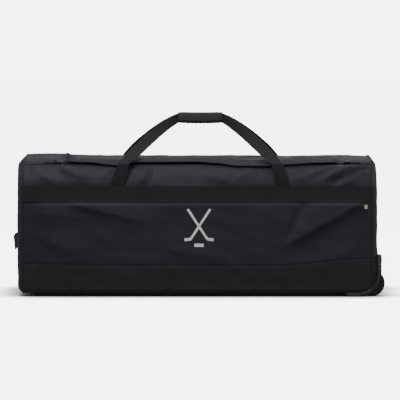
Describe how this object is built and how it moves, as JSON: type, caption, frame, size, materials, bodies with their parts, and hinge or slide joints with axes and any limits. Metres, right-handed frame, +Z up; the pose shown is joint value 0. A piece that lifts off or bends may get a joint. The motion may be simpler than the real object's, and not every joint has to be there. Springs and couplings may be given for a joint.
{
  "type": "hockey equipment bag",
  "caption": "Long soft equipment bag on a stiffened base, with two wheels at one end, a zipped lid, carry handles that meet in a wrap-round grip and a pull handle.",
  "frame": {"origin": "on the floor under the middle of the bag, on the sole of the middle base runner", "axes": "+X along the bag towards the wheel end, -Y the front with the zip, +Z up"},
  "size_m": [1.0318, 0.405, 0.5052],
  "materials": {
    "fabric": "coated woven polyester, soft sheen",
    "lower_fabric": "coated woven polyester, duller",
    "webbing": "woven strap, matt",
    "binding": "binding cord, matt",
    "zip_tape": "coil zip and tape",
    "slider_metal": "black lacquered",
    "grip_pad": "padded hook-and-loop wrap",
    "board": "stiff sheet",
    "guard_plastic": "fine moulded texture",
    "tyre_rubber": "grooved",
    "hub_plastic": "moulded",
    "steel": "zinc plated",
    "label_weave": "woven tag, plain"
  },
  "bodies": {
    "bag": {"base_board": "board", "base_panel": "lower_fabric", "front_axle": "steel", "front_band": "webbing", "front_guard_end_rivet": "steel", "front_guard_foot_rivet": "steel", "front_lower_panel": "lower_fabric", "front_panel": "fabric", "front_pull_anchor": "webbing", "front_runner": "guard_plastic", "front_shoulder_panel": "fabric", "front_wheel_guard": "guard_plastic", "front_zip_tape": "zip_tape", "kick_panel": "lower_fabric", "left_end_panel": "fabric", "left_piping": "binding", "left_top_border": "fabric", "left_zip_tape": "zip_tape", "lower_end_tab": "webbing", "middle_runner": "guard_plastic", "rear_axle": "steel", "rear_band": "webbing", "rear_guard_end_rivet": "steel", "rear_guard_foot_rivet": "steel", "rear_lower_panel": "lower_fabric", "rear_panel": "fabric", "rear_pull_anchor": "webbing", "rear_runner": "guard_plastic", "rear_shoulder_panel": "fabric", "rear_wheel_guard": "guard_plastic", "right_end_panel": "fabric", "right_piping": "binding", "right_top_border": "fabric", "right_zip_tape": "zip_tape", "side_label": "label_weave"},
    "lid": {"lid_panel": "fabric", "lid_front_zip_tape": "zip_tape", "lid_left_zip_tape": "zip_tape", "lid_right_zip_tape": "zip_tape", "storm_flap": "fabric"},
    "front_handle_base": {"front_left_handle_leg": "webbing", "front_right_handle_leg": "webbing"},
    "rear_handle_base": {"rear_left_handle_leg": "webbing", "rear_right_handle_leg": "webbing"},
    "front_handle": {"front_handle_strap": "webbing", "front_grip": "grip_pad"},
    "rear_handle": {"rear_handle_strap": "webbing", "rear_grip": "grip_pad"},
    "front_wheel": {"front_tyre": "tyre_rubber", "front_wheel_hub": "hub_plastic"},
    "rear_wheel": {"rear_tyre": "tyre_rubber", "rear_wheel_hub": "hub_plastic"},
    "left_slider_body": {"left_slider": "slider_metal"},
    "right_slider_body": {"right_slider": "slider_metal"},
    "left_tab_body": {"left_pull_tab": "binding"},
    "right_tab_body": {"right_pull_tab": "binding"},
    "pull_handle": {"end_pull_handle": "webbing"}
  },
  "joints": [
    {"name": "lid_open", "type": "hinge", "parent": "bag", "child": "lid", "pos_m": [0, 0.12, 0.38], "axis": [-1, 0, 0], "range_deg": [0, 100]},
    {"name": "front_handle_drop", "type": "hinge", "parent": "bag", "child": "front_handle_base", "pos_m": [0.008, -0.2035, 0.3076], "axis": [1, 0, 0], "range_deg": [0, 168]},
    {"name": "front_handle_unbend", "type": "hinge", "parent": "front_handle_base", "child": "front_handle", "pos_m": [0.008, -0.2035, 0.368], "axis": [1, 0, 0], "range_deg": [0, 50]},
    {"name": "rear_handle_drop", "type": "hinge", "parent": "bag", "child": "rear_handle_base", "pos_m": [0.008, 0.2035, 0.3076], "axis": [-1, 0, 0], "range_deg": [0, 168]},
    {"name": "rear_handle_unbend", "type": "hinge", "parent": "rear_handle_base", "child": "rear_handle", "pos_m": [0.008, 0.2035, 0.368], "axis": [-1, 0, 0], "range_deg": [0, 50]},
    {"name": "front_wheel_spin", "type": "hinge", "parent": "bag", "child": "front_wheel", "pos_m": [0.484, -0.164, 0.036], "axis": [0, 1, 0], "continuous": true},
    {"name": "rear_wheel_spin", "type": "hinge", "parent": "bag", "child": "rear_wheel", "pos_m": [0.484, 0.164, 0.036], "axis": [0, 1, 0], "continuous": true},
    {"name": "left_slider_slide", "type": "slide", "parent": "bag", "child": "left_slider_body", "axis": [1, 0, 0], "range_m": [0, 0.37]},
    {"name": "right_slider_slide", "type": "slide", "parent": "bag", "child": "right_slider_body", "axis": [-1, 0, 0], "range_m": [0, 0.37]},
    {"name": "left_tab_flip", "type": "hinge", "parent": "left_slider_body", "child": "left_tab_body", "pos_m": [-0.3972, -0.1608, 0.37067], "axis": [0, 0.866, 0.5], "range_deg": [0, 95]},
    {"name": "right_tab_flip", "type": "hinge", "parent": "right_slider_body", "child": "right_tab_body", "pos_m": [0.4252, -0.1608, 0.37067], "axis": [0, -0.866, -0.5], "range_deg": [0, 95]},
    {"name": "pull_handle_lift", "type": "hinge", "parent": "bag", "child": "pull_handle", "pos_m": [-0.50325, 0, 0.168], "axis": [0, 1, 0], "range_deg": [0, 85]}
  ],
  "couplings": [
    {"joint": "front_handle_drop", "follows": "lid_open", "ratio": 1.68},
    {"joint": "rear_handle_drop", "follows": "lid_open", "ratio": 1.68},
    {"joint": "front_handle_unbend", "follows": "lid_open", "ratio": 0.5},
    {"joint": "rear_handle_unbend", "follows": "lid_open", "ratio": 0.5}
  ]
}
